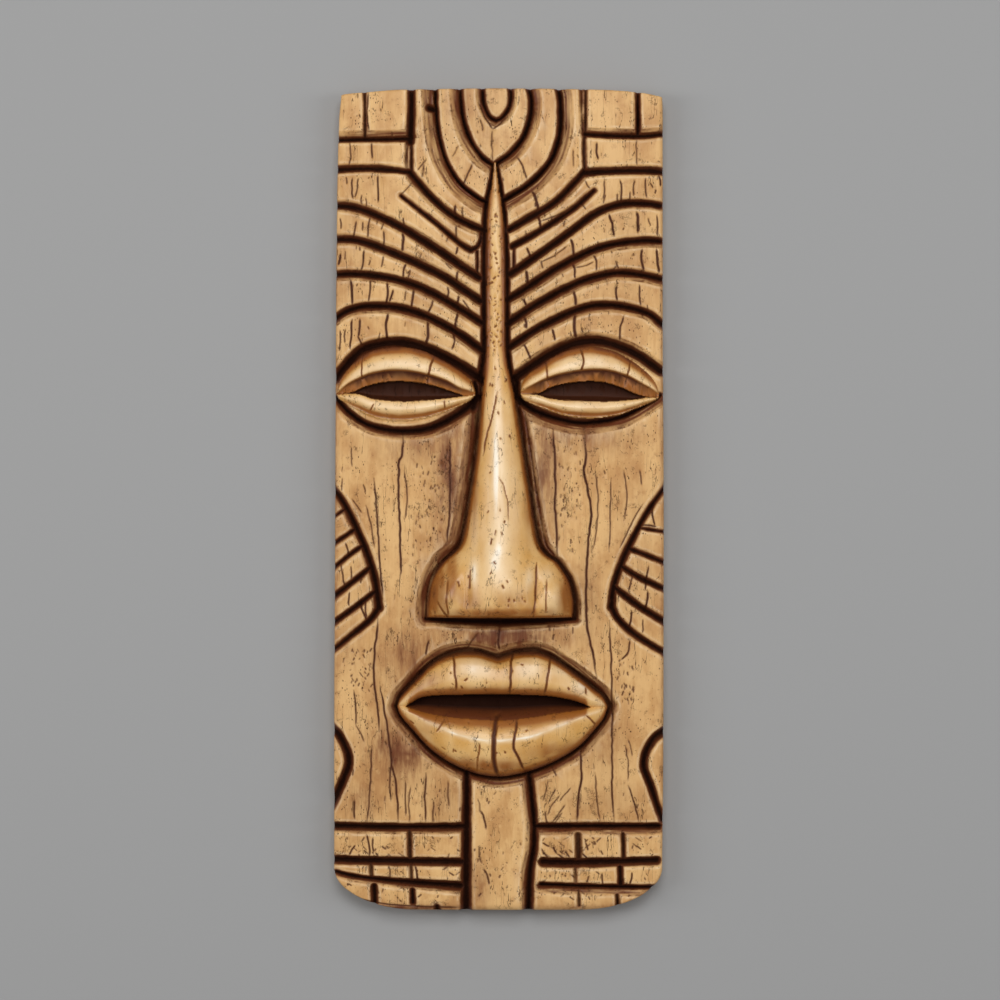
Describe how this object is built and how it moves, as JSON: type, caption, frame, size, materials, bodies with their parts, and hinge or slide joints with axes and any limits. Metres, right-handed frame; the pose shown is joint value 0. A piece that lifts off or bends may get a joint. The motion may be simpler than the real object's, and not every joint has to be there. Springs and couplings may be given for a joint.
{
  "type": "tiki mask",
  "caption": "Tall narrow wooden tiki mask, a flat-backed board carved with a long nose, full lips, lidded eyes, nested brow bands and block courses, made to hang on a wall.",
  "frame": {"origin": "middle of the flat back, which the mask lies on", "axes": "+Y towards the top of the head, +X across the face to the viewer's right, +Z out of the face"},
  "size_m": [0.2, 0.5, 0.046],
  "materials": {
    "carved_wood": "satin lacquered tan wood with dark brown stain in the cuts"
  },
  "bodies": {
    "root": {"tiki_mask": "carved_wood"}
  },
  "joints": []
}
